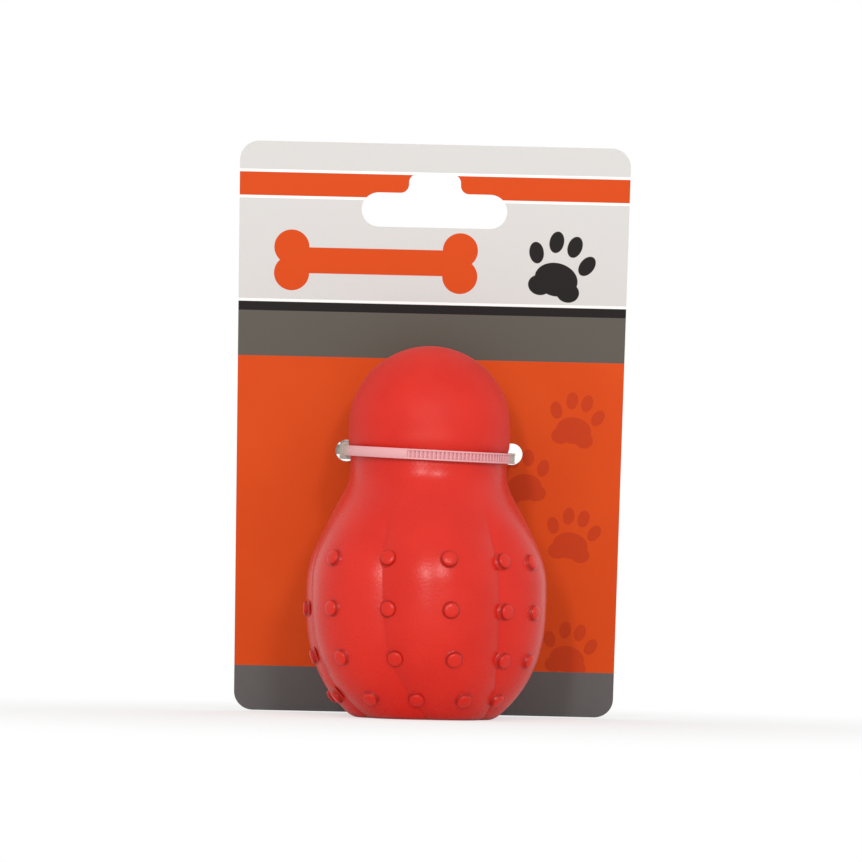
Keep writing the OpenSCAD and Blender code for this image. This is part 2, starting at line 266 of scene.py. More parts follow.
def grow(name, start, net, made, material):
    """Runs a shape net on a start mesh and gives back a plain mesh object."""
    real = net.add("GeometryNodeRealizeInstances", {}, {"Geometry": made})
    dressed = net.add("GeometryNodeSetMaterial", {}, {"Geometry": real, "Material": material})
    end = net.tree.nodes.new("NodeGroupOutput")
    net.tree.links.new(dressed.socket, end.inputs[0])
    seed = loose(name + "_seed", start)
    modifier = seed.modifiers.new(name, "NODES")
    modifier.node_group = net.tree
    for item in net.tree.interface.items_tree:
        if item.in_out == "INPUT" and item.name in net.sizes:
            modifier[item.identifier] = net.sizes[item.name]
    grown = seed.evaluated_get(bpy.context.evaluated_depsgraph_get())
    mesh = bpy.data.meshes.new_from_object(grown)
    bpy.data.objects.remove(seed)
    print(name, "has", len(mesh.polygons), "faces")
    return loose(name, mesh)


def line_mesh(name, points, **attributes):
    """A mesh of points joined in a line, with a number at each point for every attribute."""
    mesh = bpy.data.meshes.new(name)
    mesh.from_pydata(points, [(i, i + 1) for i in range(len(points) - 1)], [])
    for label, values in attributes.items():
        mesh.attributes.new(label, "FLOAT", "POINT").data.foreach_set("value", values)
    return mesh


# %% [markdown]
# Finishes
#
# A finish starts from the Principled shader. What is the same all over is set on the
# shader's own sockets, and only colour, roughness and bump vary over a surface. Colours
# are written as the red, green and blue numbers of a picture, from 0 to 255, and turned
# into the linear light that a shader works in. Patterns read Object coordinates, so they
# keep to the object as it turns.

# %% The finish net
def paint(red, green, blue):
    """A picture's colour as linear light."""
    def linear(level):
        share = level / 255
        return share / 12.92 if share <= 0.04045 else ((share + 0.055) / 1.055) ** 2.4
    return (linear(red), linear(green), linear(blue), 1)


class Finish(Net):
    """A material with a Principled shader and patterns in millimetres."""

    def __init__(self, name):
        self.material = bpy.data.materials.new(name)
        self.material.use_nodes = True
        super().__init__(self.material.node_tree)
        self.shader = self.tree.nodes["Principled BSDF"]

    def place(self):
        """Where a point of the surface is, in millimetres."""
        return self.add("ShaderNodeTexCoord", {}, {}, "Object") / MM

    def attribute(self, name):
        """A number that the mesh carries at its points."""
        return self.add("ShaderNodeAttribute", {"attribute_name": name}, {}, "Fac")

    def noise(self, place, grain, detail=2.0):
        """Soft noise from 0 to 1 with grains of about that many millimetres."""
        inputs = {"Vector": place, "Scale": 1 / grain, "Detail": detail}
        return self.add("ShaderNodeTexNoise", {"noise_dimensions": "3D"}, inputs)

    def mix(self, share, first, second):
        """The first colour where share is 0, the second where it is 1."""
        inputs = {0: share, 6: first, 7: second}
        return self.add("ShaderNodeMix", {"data_type": "RGBA"}, inputs, 2)

    def bump(self, height, depth, under=None):
        """A normal from a height of 0 to 1 that stands for that many millimetres."""
        inputs = {"Height": height, "Distance": depth * MM, "Strength": 1.0}
        if under:
            inputs["Normal"] = under
        return self.add("ShaderNodeBump", {}, inputs)

    def set(self, **values):
        """Sets sockets of the shader: a word with an underscore stands for one with a space."""
        for label, value in values.items():
            self.feed(self.shader.inputs[label.replace("_", " ")], value)
        return self.material


# %% [markdown]
# Rubber
#
# The toy is moulded in soft red rubber. The skin has the fine pebble of a blasted mould,
# which breaks up each highlight, and slow drifts in the red. Light that grazes the rubber
# comes back pale and pinkish, as on skin, and a little sheen gives that. The head is duller
# than the belly. Round each nub's foot and down in the valleys, shade is painted into the
# colour as a deeper red. A picture could be painted for that, but it would need unwrapping,
# so the meshes carry it as a number of their own, which is 1 where the painted shade is
# darkest and 0 on the open skin.

# %% The red rubber
dull_heights, dulling = (62, 74), 0.26
# How far the painted shade in the valleys and round the nubs' feet deepens the red.
crease_shade_level = 0.55


def red_rubber():
    net = Finish("red_rubber")
    place = net.place()
    _, _, height = place.parts()
    drift = net.noise(place, 14.0)
    grain = net.noise(place, 0.55, 3.0)
    ripple = net.noise(place, 2.6)
    red = net.mix(drift.rise(0.3, 0.7), paint(205, 32, 16), paint(211, 37, 21))
    # Painted shade: a deeper red round the nubs' feet and down in the valleys.
    red = net.mix(net.attribute("crease") * crease_shade_level, red, paint(128, 10, 10))
    skin = net.bump(grain, 0.045, net.bump(ripple, 0.03))
    return net.set(
        Base_Color=red,
        Roughness=0.23 + grain * 0.12 + height.rise(*dull_heights) * dulling,
        Normal=skin,
        Specular_IOR_Level=0.3,
        Sheen_Weight=0.07,
        Sheen_Roughness=0.35,
        Sheen_Tint=(1.0, 0.75, 0.75, 1),
    )


rubber = red_rubber()
print("made", rubber.name)

# %% [markdown]
# The toy's outline
#
# Seen from the side the toy is a belly, a waist and a ball for a head. Its outline is the
# radius at the lobes' crests at each height, in four stretches that meet without a kink.
# The lobes are strongest at the foot, fade out below the waist, and twist as they rise.
# The numbers are the CAD model's own, so that the skin lies where its solid lies.

# %% Outline, lobes and twist
bulge_z, bulge_r = 33.6 * MM, 31.4 * MM
neck_z, neck_r, neck_land = 64.2 * MM, 20 * MM, 4.9 * MM
head_z, head_r, head_flare_h = 74.4 * MM, 20.6 * MM, 3.2 * MM
base_r, base_edge_r = 18 * MM, 1.2 * MM
belly_power, shoulder_round, shoulder_power = 2.96, 2.05, 1.75
land_low, land_high = neck_z - neck_land / 2, neck_z + neck_land / 2

LOBES = 6
lobe_angle = math.radians(360 / LOBES)
first_valley = math.radians(-21.2)
lobe_share, lobe_full_z, lobe_end_z = 0.38, 44 * MM, 56.5 * MM
lobe_twist, foot_twist = math.radians(3), math.radians(22.5)
untwisted_share, foot_share, foot_power = 0.92, 0.8, 3


def smooth(share):
    inside = min(max(share, 0), 1)
    return inside * inside * (3 - 2 * inside)


def outline_r(z):
    """The toy's radius at the lobes' crests."""
    if z < bulge_z:
        return bulge_r - (bulge_r - base_r) * (1 - z / bulge_z) ** belly_power
    if z < land_low:
        rise = ((z - bulge_z) / (land_low - bulge_z)) ** shoulder_round
        return neck_r + (bulge_r - neck_r) * (1 - rise) ** shoulder_power
    if z < head_z:
        return neck_r + (head_r - neck_r) * smooth((z - land_high) / head_flare_h)
    return math.sqrt(max(head_r**2 - (z - head_z) ** 2, 0))


def crest_r(z):
    """The same, with the base's edge rounded."""
    if z >= base_edge_r:
        return outline_r(z)
    return outline_r(z) - base_edge_r + math.sqrt(base_edge_r**2 - (base_edge_r - z) ** 2)


def lobe_at(z):
    return lobe_share * (1 - smooth((z - lobe_full_z) / (lobe_end_z - lobe_full_z)))


def twist_at(z):
    height = min(z, lobe_end_z)
    foot = max(1 - height / (foot_share * bulge_z), 0)
    return lobe_twist * (untwisted_share - height / bulge_z) + foot_twist * foot**foot_power


print("widest:", round(2 * outline_r(bulge_z) / MM, 1), "mm, height:", round((head_z + head_r) / MM, 1), "mm")

# %% [markdown]
# Rings from the crown to the hollow
#
# The skin is a sheet of rings. They start at the crown, run down the outside, round the
# base's edge, in to the mouth, up through it and up the inside of the hollow. Each ring is
# one point of a line mesh: its x is the radius at the crests, its z is the height, and two
# attributes carry the strength of the lobes and the twist there. A finer step where the
# outline bends quickly keeps its silhouette round.

# %% List the rings
toy_wall, floor_t, mouth_r, lip_r = 7 * MM, 7 * MM, 11 * MM, 0.8 * MM
ring_step, inner_step = 0.9 * MM, 2.4 * MM
dome_steps, inner_dome_steps, edge_steps = 26, 10, 5


def quarter(steps):
    """Angles from 0 to 90 degrees, both ends in."""
    return [math.radians(90 * i / steps) for i in range(steps + 1)]


def outer_rings():
    head = [(head_r * math.sin(a), head_z + head_r * math.cos(a)) for a in quarter(dome_steps)]
    count = round((head_z - base_edge_r) / ring_step)
    heights = [head_z - (head_z - base_edge_r) * i / count for i in range(1, count)]
    edge = [base_edge_r * (1 - math.sin(a)) for a in quarter(edge_steps)]
    side = [(crest_r(z), z) for z in heights + edge]
    return [(r, z, lobe_at(z), twist_at(z)) for r, z in head + side]


def base_rings():
    rim = crest_r(0)
    shares = (0.25, 0.6, 0.85)
    return [(rim + (mouth_r + lip_r - rim) * s, 0, lobe_share * (1 - s), twist_at(0)) for s in shares]


def hollow_rings():
    turns = [(lip_r * (1 - math.cos(a)), lip_r * (1 - math.sin(a))) for a in quarter(edge_steps)]
    low = [(mouth_r + across, up) for up, across in turns]
    high = [(mouth_r + across, floor_t - down) for across, down in turns]
    count = round((head_z - floor_t) / inner_step)
    heights = [floor_t + (head_z - floor_t) * i / count for i in range(count)]
    side = [(outline_r(z) - toy_wall, z) for z in heights]
    dome_r = head_r - toy_wall
    dome = [(dome_r * math.cos(a), head_z + dome_r * math.sin(a)) for a in quarter(inner_dome_steps)]
    return [(r, z, 0, twist_at(0)) for r, z in low + high + side + dome]


rings = outer_rings() + base_rings() + hollow_rings()
print(len(rings), "rings")

# %% [markdown]
# Nubs
#
# Nubs stand on the belly in four rows. Their columns follow the lobes' twist: some run
# beside a valley and some up the middle of a lobe. One stops a row short of the foot and
# one begins a row below the top, so each column is written as its lobe, its share across
# the lobe, and its first and last row. A mark is a point on the skin that also knows which
# way is outwards, so that a nub set there stands square to the skin.

# %% Mark the nubs
nub_rows = (1.18, 0.81, 0.452, 0.158)
nub_columns = (
    (0, 0.05, 0, 3), (0, 0.54, 0, 3), (1, 0.06, 0, 3), (1, 0.35, 0, 2), (2, 0.56, 0, 3),
    (3, 0.05, 0, 3), (3, 0.54, 0, 3), (4, 0.06, 0, 3), (4, 0.45, 0, 3), (4, 0.87, 1, 3),
    (5, 0.56, 0, 3),
)


def skin_point(z, lobe, share):
    """A point on the skin: share runs across one lobe, from its valley to the next."""
    k = lobe_at(z)
    across = (share - 0.5) * lobe_angle
    r = crest_r(z) * (k * math.cos(across) + math.sqrt((1 - k) ** 2 - (k * math.sin(across)) ** 2))
    a = first_valley + twist_at(z) + (lobe + share) * lobe_angle
    return Vector((r * math.sin(a), -r * math.cos(a), z)), a


def outwards(z, a):
    """The direction square to the outline at a height and an azimuth."""
    step = 0.2 * MM
    lift = math.atan2(crest_r(z - step) - crest_r(z + step), 2 * step)
    return Vector((math.cos(lift) * math.sin(a), -math.cos(lift) * math.cos(a), math.sin(lift)))


def nub_marks():
    """A mesh of one point for each nub, with the outward direction at each."""
    places, aims = [], []
    for lobe, share, first, last in nub_columns:
        for row in nub_rows[first:last + 1]:
            place, a = skin_point(row * bulge_z, lobe, share)
            places.append(place)
            aims.extend(outwards(row * bulge_z, a))
    mesh = bpy.data.meshes.new("nub_marks")
    mesh.from_pydata(places, [], [])
    mesh.attributes.new("aim", "FLOAT_VECTOR", "POINT").data.foreach_set("vector", aims)
    return mesh


marks = loose("nub_marks", nub_marks())
print(len(marks.data.vertices), "nubs marked")

# %% [markdown]
# One nub
#
# Each nub is a low button with a flat top and a crisp foot, moulded in one with the skin.
# One is made by turning a short outline about an axis, and the tree below sets a copy at
# every mark. The outline ends in a flare that dips under the skin, so no gap can show.

# %% Make one nub
def turned(name, outline, steps):
    """A surface turned about Z from (radius, height) points that start on the axis."""
    places = [(0, 0, outline[0][1])]
    faces = []
    for r, z in outline[1:]:
        places += [(r * math.cos(a), r * math.sin(a), z)
                   for a in (math.tau * i / steps for i in range(steps))]
    for i in range(steps):
        j = (i + 1) % steps
        faces.append((0, 1 + i, 1 + j))
        for ring in range(len(outline) - 2):
            low, high = 1 + ring * steps, 1 + (ring + 1) * steps
            faces.append((low + i, high + i, high + j, low + j))
    mesh = bpy.data.meshes.new(name)
    mesh.from_pydata(places, [], faces)
    return mesh


nub_r, nub_h, nub_roundness, nub_sides = 1.95 * MM, 1.25 * MM, 3.8, 22


def nub_outline():
    """From the top's middle outwards: the round top, then a foot that flares under the skin."""
    power = 2 / nub_roundness
    top = [(nub_r * math.sin(a) ** power, nub_h * math.cos(a) ** power) for a in quarter(9)[:-1]]
    flare = [(1.02, 0.1), (1.06, 0.03), (1.16, -0.02), (1.3, -0.35)]
    return top + [(nub_r * wide, nub_h * high) for wide, high in flare]


def foot_shade(wide):
    """The painted shade round a nub's foot, which sets in at the edge and fades on the skin."""
    return smooth((wide - 0.86) / 0.14) * (1 - smooth((wide - 1.1) / 0.2))


def nub_button():
    """One nub, with the painted shade round its foot as a number at each point."""
    mesh = turned("nub_button", nub_outline(), nub_sides)
    foot_shades = [foot_shade(vertex.co.xy.length / nub_r) for vertex in mesh.vertices]
    mesh.attributes.new("crease", "FLOAT", "POINT").data.foreach_set("value", foot_shades)
    return mesh


nub = loose("nub_button", nub_button())
print("one nub has", len(nub.data.polygons), "faces")

# %% [markdown]
# The toy
#
# A grid becomes the skin. Its rows take the rings' numbers, and its columns run round the
# toy. Across a lobe the radius is that of an arc whose middle lies off the axis, which
# leaves a crisp valley where two arcs meet. Columns crowd together at the valleys, so the
# crease stays sharp. Modelling by hand would never keep six lobes alike.

# %% Grow the toy
lobe_columns, weld = 44, 0.01 * MM


def toy_net():
    net = ShapeNet("toy_skin", lobes=LOBES, columns=LOBES * lobe_columns, first_valley=first_valley,
                   crowding=0.6, crease_share=0.03, crease_depth=0.4, nub_marks=marks, nub=nub)
    rings_in = Wire(net, net.given.outputs["start"])
    lobes, columns = net.size("lobes"), net.size("columns")
    count = net.add("GeometryNodeAttributeDomainSize", {}, {"Geometry": rings_in})
    sheet = net.add("GeometryNodeMeshGrid", {}, {
        "Size X": 1.0, "Size Y": 1.0, "Vertices X": columns + 1, "Vertices Y": count})

    across, along, _ = net.place().parts()
    ring = ((along + 0.5) * (count - 1) + 0.5).floor()
    crest, _, height = net.sample(rings_in, net.place(), ring, "FLOAT_VECTOR").parts()
    strength = net.sample(rings_in, net.attribute("lobe"), ring)
    twist = net.sample(rings_in, net.attribute("twist"), ring)

    laps = (across + 0.5) * lobes
    share = laps.fraction()
    share = share - (share * math.tau).sin() * net.size("crowding") / math.tau
    one_lobe = math.tau / lobes
    valley_gap = 0.5 - (share - 0.5).size()
    # Painted shade along each valley, kept on the skin as a number for the red rubber to darken.
    crease = (1 - valley_gap.rise(0.0, net.size("crease_share"))) * strength * net.size("crease_depth")
    off_crest = (share - 0.5) * one_lobe
    sideways = strength * off_crest.sin()
    reach = strength * off_crest.cos() + ((1 - strength) ** 2 - sideways * sideways).root()
    azimuth = net.size("first_valley") + twist + (laps.floor() + share) * one_lobe
    radius = crest * reach
    spot = net.vector(radius * azimuth.sin(), 0 - radius * azimuth.cos(), height)
    creased = net.add("GeometryNodeStoreNamedAttribute", {"data_type": "FLOAT", "domain": "POINT"}, {
        "Geometry": sheet, "Name": "crease", "Value": crease})
    skin = net.add("GeometryNodeSetPosition", {}, {"Geometry": creased, "Position": spot})
    skin = net.add("GeometryNodeMergeByDistance", {}, {"Geometry": skin, "Distance": weld})

    aim = net.attribute("aim", "FLOAT_VECTOR")
    aim = net.add("FunctionNodeAlignRotationToVector", {"axis": "Z"}, {"Vector": aim})
    nubs = net.add("GeometryNodeInstanceOnPoints", {}, {
        "Points": net.shape_of("nub_marks"), "Instance": net.shape_of("nub"), "Rotation": aim})
    return net, net.add("GeometryNodeSetShadeSmooth", {}, {"Geometry": net.join(skin, nubs)})


ring_line = line_mesh(
    "rings",
    [(r, 0, z) for r, z, lobe, twist in rings],
    lobe=[lobe for r, z, lobe, twist in rings],
    twist=[twist for r, z, lobe, twist in rings],
)
net, made = toy_net()
toy = grow("toy", ring_line, net, made, rubber)
bpy.data.objects.remove(marks)
bpy.data.objects.remove(nub)
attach(toy, "toy")
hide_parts("toy_body")

# %% [markdown]
# Nylon
#
# Cable ties are moulded in plain nylon, which is milky and lets light through. Where the
# strap lies on the toy the red shows through it. Real scattering inside so thin a strap
# renders slowly and grainy, so that red light is painted into its colour instead: pink near
# the toy's axis, and greyish on its way to the card. Shade is painted into the ladder's
# grooves, so they come out darker than its teeth. The strap's outlines carry that painted
# shade as a number of their own.

# %% The milky nylon
pink_r, pink_x = (22.6, 24.5), (19.8, 21.2)
# How far the painted shade in the ladder's grooves darkens the colour.
groove_shade_level = 0.85


def milky_nylon():
    net = Finish("milky_nylon")
    place = net.place()
    x, y, _ = place.parts()
    haze = net.noise(place, 1.6)
    # Painted light: where the strap lies on the toy, the red that comes through it is painted in as pink.
    near_axis = 1 - (x * x + y * y).root().rise(*pink_r)
    on_toy = near_axis * (1 - x.size().rise(*pink_x))
    milk = net.mix(haze, paint(196, 188, 178), paint(210, 202, 192))
    milk = net.mix(on_toy, milk, paint(236, 174, 177))
    # Painted shade in the ladder's grooves: greyer off the toy, pinkish where the painted red shows.
    groove = net.mix(on_toy, paint(162, 153, 143), paint(212, 134, 140))
    return net.set(
        Base_Color=net.mix(net.attribute("groove") * groove_shade_level, milk, groove),
        Roughness=0.38 + haze * 0.1,
        Normal=net.bump(haze, 0.02),
        IOR=1.53,
        Transmission_Weight=0.15,
    )


nylon = milky_nylon()
print("made", nylon.name)

# %% [markdown]
# The strap's plane
#
# The strap starts at the head behind the card, comes forward through the left hole, goes
# round the neck, back through the right hole, round a tight bend, and along the card's
# back into the head. It could be drawn as a free curve in space, but all of it lies in one
# plane, which rises a little towards the card. So the route is worked out flat in that
# plane, and tilted afterwards.

# %% Place the plane
card_lean, card_reach, card_t = math.radians(14), 40.895 * MM, 0.5 * MM
tie_lift, tie_pitch, tie_roll = 3.05 * MM, math.radians(4), math.radians(1.7)
strap_w, strap_t, tie_clear = 2.6 * MM, 1.1 * MM, 0.3 * MM
hole_spread, bend_r, tail_l = 43.6 * MM, 1.9 * MM, 1.6 * MM
head_w, head_l, head_floor, head_roof, head_gap = 5 * MM, 3.8 * MM, 1.1 * MM, 0.8 * MM, 0.1 * MM
slot_clear = 0.12 * MM

card_normal = Vector((0, math.cos(card_lean), math.sin(card_lean)))
loop_turn = Euler((tie_pitch, tie_roll, 0)).to_matrix().to_4x4()
loop_place = Matrix.Translation((0, 0, neck_z + tie_lift)) @ loop_turn
loop_x, loop_y, loop_axis = (loop_turn.col[i].xyz for i in range(3))


def card_in_loop(x, depth, half):
    """Where the loop's plane meets the card, for a piece that reaches half to each side."""
    gap = card_reach + depth - card_normal.dot(loop_place.translation)
    gap += half * abs(card_normal.dot(loop_axis)) - x * card_normal.dot(loop_x)
    return gap / card_normal.dot(loop_y)


print("the card crosses the strap's plane at", round(card_in_loop(0, 0, 0) / MM, 1), "mm")

# %% [markdown]
# The route's stretches
#
# On its way the strap touches the neck, crosses the card twice and meets the slot in the
# head. A leg that touches a circle stands square to the radius there, which gives the
# length of each straight leg and the turn of each arc.

# %% Measure the stretches
hole_x = hole_spread / 2
held_r = outline_r(neck_z + tie_lift + neck_r * math.sin(tie_roll) + strap_w / 2)
loop_r = (held_r + tie_clear + strap_w / 2 * math.sin(tie_pitch)) / math.cos(tie_pitch) + strap_t / 2
leg_y = card_in_loop(0, 0, 0)
leg_reach = math.hypot(hole_x, leg_y)
leg_aim = math.atan2(leg_y, hole_x)
leg_l = math.sqrt(leg_reach**2 - loop_r**2)
leg_turn = math.acos(loop_r / leg_reach) - leg_aim
channel_h = strap_t + 2 * slot_clear
head_front_y = card_in_loop(-hole_x, card_t, head_w / 2) + head_gap
slot_y = head_front_y + head_floor + channel_h / 2
run_y = card_in_loop(hole_x, card_t, strap_w / 2) + head_gap + strap_t / 2
run_turn = math.atan((slot_y - run_y) / (hole_spread - bend_r))
left_pass = (head_front_y - head_gap / 2 - leg_y) / math.cos(leg_turn)
right_pass = (run_y - leg_y - bend_r) / math.cos(leg_turn)

# The length, the turn and the steps of each stretch.
route = [
    (left_pass + leg_l, 0, 8),
    (loop_r * (math.pi - 2 * leg_turn), math.pi - 2 * leg_turn, 72),
    (leg_l + right_pass, 0, 8),
    (bend_r * (math.pi / 2 + leg_turn - run_turn), math.pi / 2 + leg_turn - run_turn, 16),
    (hole_spread - bend_r + head_l / 2 + tail_l, 0, 20),
]
print("stretches, mm:", [round(length / MM, 1) for length, turn, steps in route])

# %% [markdown]
# Walking the route
#
# A walker needs only a place and a heading. Each stretch is walked in short steps, and the
# places become the points that the strap is swept along.

# %% Walk the route
def walk(at, length, turn):
    """The place and heading after a stretch that turns steadily."""
    x, y, heading = at
    if turn == 0:
        return x + length * math.cos(heading), y + length * math.sin(heading), heading
    r = length / turn
    after = heading + turn
    return x + r * (math.sin(after) - math.sin(heading)), y - r * (math.cos(after) - math.cos(heading)), after


def route_points(start):
    points, at = [start], start
    for length, turn, steps in route:
        points += [walk(at, length * i / steps, turn * i / steps) for i in range(1, steps + 1)]
        at = points[-1]
    return points


route_start = (-leg_reach * math.cos(leg_aim) - left_pass * math.sin(leg_turn),
               leg_y + left_pass * math.cos(leg_turn), leg_turn - math.pi / 2)
strap_line = route_points(route_start)
strap_l = sum(length for length, turn, steps in route)
print("strap:", round(strap_l / MM, 1), "mm long")

# %% [markdown]
# The strap
#
# A flat band comes first, and then, from the front of the neck on, two rails with a ladder
# of saw teeth between them. Two outlines are swept along two stretches of one curve, and a
# single tooth is repeated along the second, at the ladder's pitch and up to the last tooth
# that fits whole. The teeth are counted from the pawl, which sits between two of them.

# %% Draw the outlines and one tooth
tooth_pitch, tooth_depth, tooth_shy, rail_w = 1.05 * MM, 0.45 * MM, 0.1 * MM, 0.45 * MM
ladder_start = math.radians(-16)
pawl_reach, pawl_play, pawl_clear = 0.45 * MM, 0.3 * MM, 0.05 * MM
slot_s = strap_l - tail_l - head_l / 2
pawl_s = slot_s + pawl_reach + pawl_play
ladder_s = route[0][0] + loop_r * (math.pi / 2 - leg_turn + ladder_start)
ladder_s = pawl_s - math.floor((pawl_s - ladder_s) / tooth_pitch) * tooth_pitch
last_tooth_s = pawl_s + (math.floor((strap_l - pawl_s) / tooth_pitch) - 1) * tooth_pitch
edge = 0.12 * MM


def shade_grooves(mesh):
    """Marks how deep each point lies in the ladder, for the painted shade in its grooves: 0 at the rails'
    top, 1 at the web.
    """
    depths = [max(strap_t / 2 - vertex.co.x, 0) / tooth_depth for vertex in mesh.vertices]
    inside = [abs(vertex.co.y) < strap_w / 2 - rail_w + edge for vertex in mesh.vertices]
    groove_shades = [min(depth, 1) * held for depth, held in zip(depths, inside)]
    mesh.attributes.new("groove", "FLOAT", "POINT").data.foreach_set("value", groove_shades)


def closed_outline(name, points):
    """A closed outline in the plane that a sweep reads: x is outwards, y is across."""
    mesh = bpy.data.meshes.new(name)
    count = len(points)
    mesh.from_pydata([(x, y, 0) for x, y in points], [(i, (i + 1) % count) for i in range(count)], [])
    shade_grooves(mesh)
    return loose(name, mesh)


def band_outline():
    t, w = strap_t / 2, strap_w / 2
    return [(-t, -w + edge), (-t + edge, -w), (t - edge, -w), (t, -w + edge),
            (t, w - edge), (t - edge, w), (-t + edge, w), (-t, w - edge)]


def rail_outline():
    t, w, web = strap_t / 2, strap_w / 2, strap_w / 2 - rail_w
    return [(-t, -w + edge), (-t + edge, -w), (t - edge, -w), (t, -w + edge), (t, -web - edge),
            (t - edge, -web), (t - tooth_depth, -web), (t - tooth_depth, web), (t - edge, web),
            (t, web + edge), (t, w - edge), (t - edge, w), (-t + edge, w), (-t, w - edge)]


def tooth_mesh():
    """A saw tooth that starts with its steep face, along Z, and is as wide as the web."""
    low, high, web = strap_t / 2 - tooth_depth - edge, strap_t / 2 - tooth_shy, strap_w / 2 - rail_w
    side = [(x, share * tooth_pitch) for x, share in ((low, 0), (high, 0.08), (high, 0.3), (low, 0.99))]
    points = [(x, y, z) for y in (-web, web) for x, z in side]
    faces = [(3, 2, 1, 0), (4, 5, 6, 7)] + [(i, (i + 1) % 4, 4 + (i + 1) % 4, 4 + i) for i in range(4)]
    mesh = bpy.data.meshes.new("tooth")
    mesh.from_pydata(points, [], faces)
    shade_grooves(mesh)
    return loose("tooth", mesh)


helpers = [closed_outline("band", band_outline()), closed_outline("rails", rail_outline()), tooth_mesh()]
print("drawn:", [helper.name for helper in helpers])

# %% [markdown]
# Sweeping the strap
#
# Curve to Mesh sweeps an outline along a curve. The curve's normal is held at Z, so the
# strap can't twist on its way. Trim Curve cuts the stretch for each outline, and Curve to
# Points gives each tooth its place and its turn.

# %% Grow the strap
def strap_net(band, rails, tooth):
    net = ShapeNet("strap_sweep", ladder_start=ladder_s, ladder_end=strap_l, last_tooth=last_tooth_s,
                   pitch=tooth_pitch, band=band, rails=rails, tooth=tooth)
    line = net.add("GeometryNodeMeshToCurve", {}, {"Mesh": Wire(net, net.given.outputs["start"])})
    flat = net.add("GeometryNodeSetCurveNormal", {"mode": "Z_UP"}, {"Curve": line})
    start, end = net.size("ladder_start"), net.size("ladder_end")
    last = net.size("last_tooth") + net.size("pitch") * 0.01
    stretches = {"plain": (0.0, start), "ladder": (start, end), "teeth": (start, last)}
    cut = {name: net.add("GeometryNodeTrimCurve", {"mode": "LENGTH"}, {"Curve": flat, 4: low, 5: high})
           for name, (low, high) in stretches.items()}
    swept = []
    for name, outline in (("plain", "band"), ("ladder", "rails")):
        profile = net.add("GeometryNodeMeshToCurve", {}, {"Mesh": net.shape_of(outline)})
        inputs = {"Curve": cut[name], "Profile Curve": profile, "Fill Caps": True}
        swept.append(net.add("GeometryNodeCurveToMesh", {}, inputs))
    steps = net.add("GeometryNodeCurveToPoints", {"mode": "LENGTH"}, {
        "Curve": cut["teeth"], "Length": net.size("pitch")})
    rotation = Wire(net, steps.socket.node.outputs["Rotation"])
    teeth = net.add("GeometryNodeInstanceOnPoints", {}, {
        "Points": steps, "Instance": net.shape_of("tooth"), "Rotation": rotation})
    return net, net.join(*swept, teeth)


net, made = strap_net(*helpers)
route_line = line_mesh("route", [(x, y, 0) for x, y, heading in strap_line])
strap = grow("tie_strap_dressed", route_line, net, made, nylon)
strap.data.transform(loop_place)
for helper in helpers:
    bpy.data.objects.remove(helper)
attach(strap, "hang_card")
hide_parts("tie_strap")

# %% [markdown]
# Measuring a piece against the frame
#
# A piece that replaces a CAD node has to lie where that node lies. Comparing the two boxes
# after each piece catches a wrong sign at once, long before it shows in a picture.

# %% Compare a piece with its node
def compare(piece, node):
    low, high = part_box(node)
    points = [vertex.co for vertex in piece.data.vertices]
    gaps = [(min(p[i] for p in points) - low[i], max(p[i] for p in points) - high[i]) for i in range(3)]
    print(piece.name, "against", node, "in mm:", [tuple(round(gap / MM, 2) for gap in pair) for pair in gaps])


compare(toy, "toy_body")
compare(strap, "tie_strap")

# %% [markdown]
# The head and the pawl
#
# The strap's end is locked in a small block behind the card. The block has a slot for the
# strap, and over the slot a room in which a springy pawl can lift. Both are made lying flat
# at the origin, from a side view that is given its width, and are put at the slot's place
# once their modifiers have run.

# %% Blocks and how they are finished
def slot_place():
    """The middle of the slot: X along the strap to its tail, Y away from the card."""
    at = walk(strap_line[-1], -(tail_l + head_l / 2), 0)
    turn = Matrix.Rotation(at[2], 4, "Z") @ Matrix.Diagonal((1, -1, 1, 1))
    return loop_place @ Matrix.Translation((at[0], at[1], 0)) @ turn


def prism(name, outline, low, high):
    """An outline in X and Y, given a width along Z."""
    count = len(outline)
    points = [(x, y, z) for z in (low, high) for x, y in outline]
    faces = [tuple(reversed(range(count))), tuple(range(count, 2 * count))]
    faces += [(i, (i + 1) % count, count + (i + 1) % count, count + i) for i in range(count)]
    mesh = bpy.data.meshes.new(name)
    mesh.from_pydata(points, [], faces)
    return loose(name, mesh)


def brick(name, x, y, half_width):
    """A block between two x and two y, and as far to each side."""
    outline = [(x[0], y[0]), (x[1], y[0]), (x[1], y[1]), (x[0], y[1])]
    return prism(name, outline, -half_width, half_width)


def finished(piece, place, material):
    """Runs a piece's modifiers, puts it in place and gives it its finish."""
    mesh = bpy.data.meshes.new_from_object(piece.evaluated_get(bpy.context.evaluated_depsgraph_get()))
    name = piece.name
    bpy.data.objects.remove(piece)
    mesh.transform(place)
    if place.determinant() < 0:
        mesh.flip_normals()
    mesh.materials.clear()
    mesh.materials.append(material)
    mesh.polygons.foreach_set("use_smooth", [True] * len(mesh.polygons))
    return loose(name, mesh)


def soften(piece, width, steps):
    bevel = piece.modifiers.new("soft_edges", "BEVEL")
    bevel.width = width
    bevel.segments = steps
    bevel.limit_method = "ANGLE"
    bevel.harden_normals = True


print("the slot's middle, mm:", [round(value / MM, 1) for value in slot_place().translation])

# %% [markdown]
# The head
#
# Blocks with slots are what Boolean modifiers are good at: a block, less two cutters. One
# Bevel rounds the block before it is cut, and a finer one softens the slots' rims after.

# %% Make the head
pawl_room, head_entry, head_edge_r = 1.6 * MM, 0.7 * MM, 0.35 * MM
pawl_w, slot_edge_r = 1.4 * MM, 0.06 * MM


